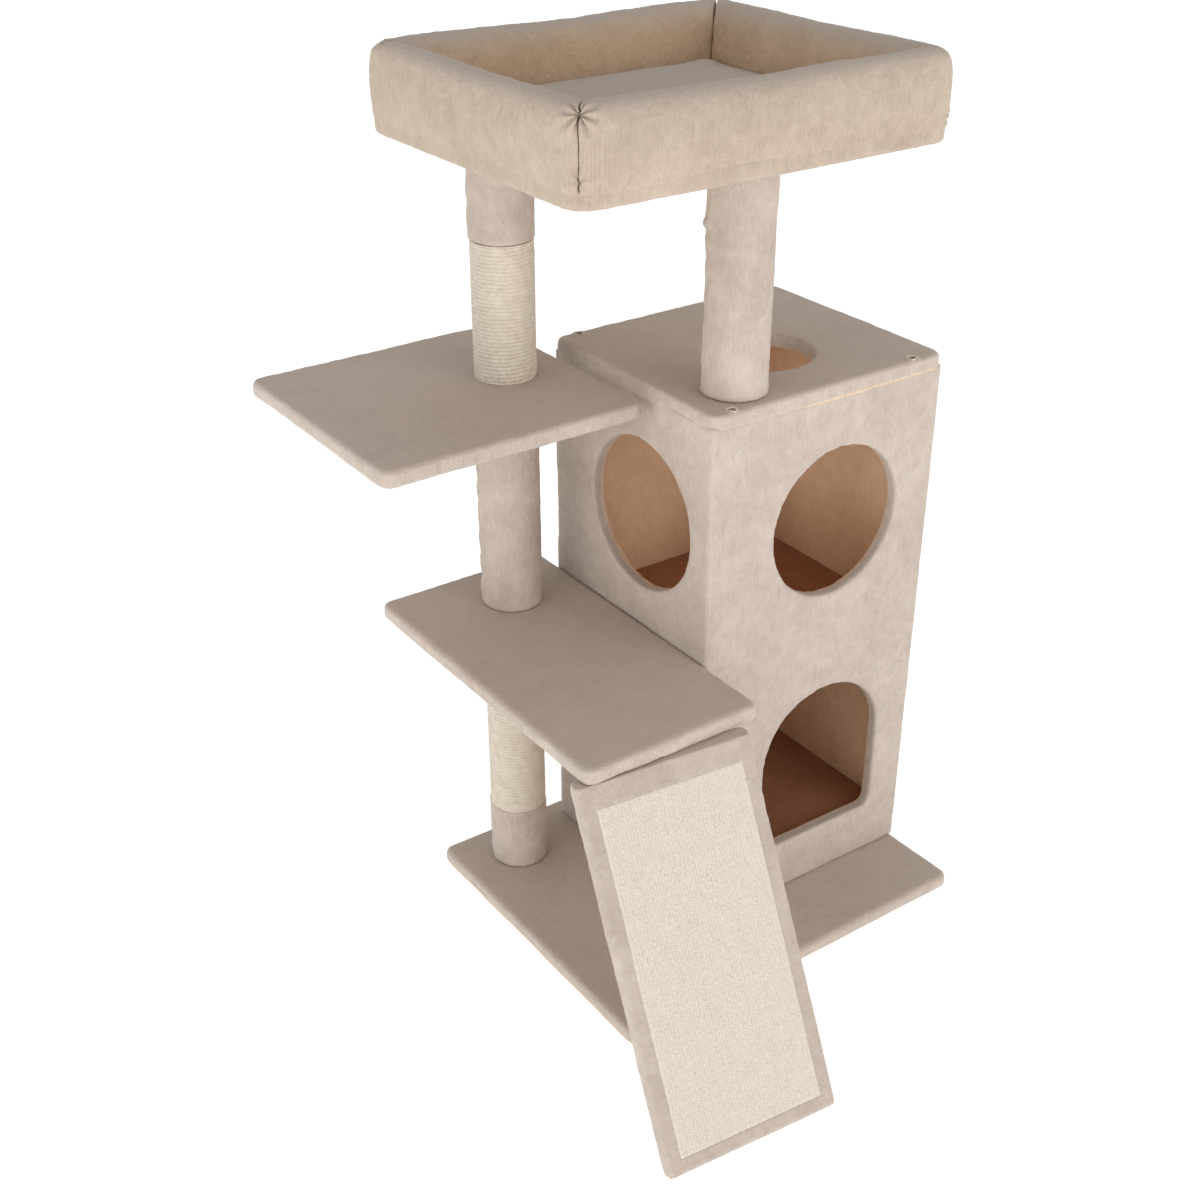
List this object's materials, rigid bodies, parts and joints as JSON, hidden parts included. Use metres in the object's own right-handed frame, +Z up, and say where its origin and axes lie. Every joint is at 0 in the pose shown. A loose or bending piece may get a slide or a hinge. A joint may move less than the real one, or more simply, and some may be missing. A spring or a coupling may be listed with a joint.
{
  "type": "cat tree",
  "caption": "Plush-covered cat tree with a condo box, posts wound with sisal, platforms, a ramp with a sisal mat and a rimmed bed on top.",
  "frame": {"origin": "middle of the base's underside, on the floor", "axes": "+Z up; +X to the right along the condo's front; -Y to the front, where the ramp comes down"},
  "size_m": [0.66, 0.7068, 1.0431],
  "materials": {
    "plush": "short soft pile, matte, blotchy nap",
    "room_floor_plush": "short brown pile, matte",
    "bed_plush": "short velvety pile with fine lines, matte",
    "filling": "white polyester wadding and foam",
    "sisal_rope": "twisted fibre rope, rough, matte",
    "sisal_mat": "coarse woven fibre mat, rough, matte",
    "particle_board": "raw pressed chips",
    "cardboard": "spiral wound brown card",
    "zinc_steel": "zinc plated, satin",
    "bracket_steel": "zinc plated sheet, satin"
  },
  "bodies": {
    "root": {"base_board": "particle_board", "base_cover": "plush", "bed_back_roll_cover": "bed_plush", "bed_back_roll_filling": "filling", "bed_board": "particle_board", "bed_cover": "bed_plush", "bed_cushion_cover": "bed_plush", "bed_cushion_foam": "filling", "bed_front_roll_cover": "bed_plush", "bed_front_roll_filling": "filling", "bed_left_roll_cover": "bed_plush", "bed_left_roll_filling": "filling", "bed_right_roll_cover": "bed_plush", "bed_right_roll_filling": "filling", "condo_back_panel": "particle_board", "condo_base_screws": "zinc_steel", "condo_floor_cover": "room_floor_plush", "condo_floor_panel": "particle_board", "condo_front_panel": "particle_board", "condo_left_panel": "particle_board", "condo_outer_cover": "plush", "condo_post_cover": "plush", "condo_post_tube": "cardboard", "condo_right_panel": "particle_board", "condo_roof_cover": "plush", "condo_roof_panel": "particle_board", "condo_roof_screws": "zinc_steel", "condo_shelf_cover": "room_floor_plush", "condo_shelf_panel": "particle_board", "condo_shelf_screws": "zinc_steel", "condo_wall_screws": "zinc_steel", "lower_platform_board": "particle_board", "lower_platform_cover": "plush", "lower_post_foot_cover": "plush", "lower_post_sisal": "sisal_rope", "lower_post_tube": "cardboard", "lower_room_lining": "plush", "middle_post_cover": "plush", "middle_post_tube": "cardboard", "platform_studs": "zinc_steel", "post_bolt_washers": "zinc_steel", "post_bolts": "zinc_steel", "post_end_plugs": "particle_board", "post_threaded_inserts": "zinc_steel", "ramp_board": "particle_board", "ramp_bracket_screws": "zinc_steel", "ramp_brackets": "bracket_steel", "ramp_cover": "plush", "ramp_sisal_mat": "sisal_mat", "upper_platform_board": "particle_board", "upper_platform_cover": "plush", "upper_post_cover": "plush", "upper_post_sisal": "sisal_rope", "upper_post_tube": "cardboard", "upper_room_lining": "plush"}
  },
  "joints": []
}
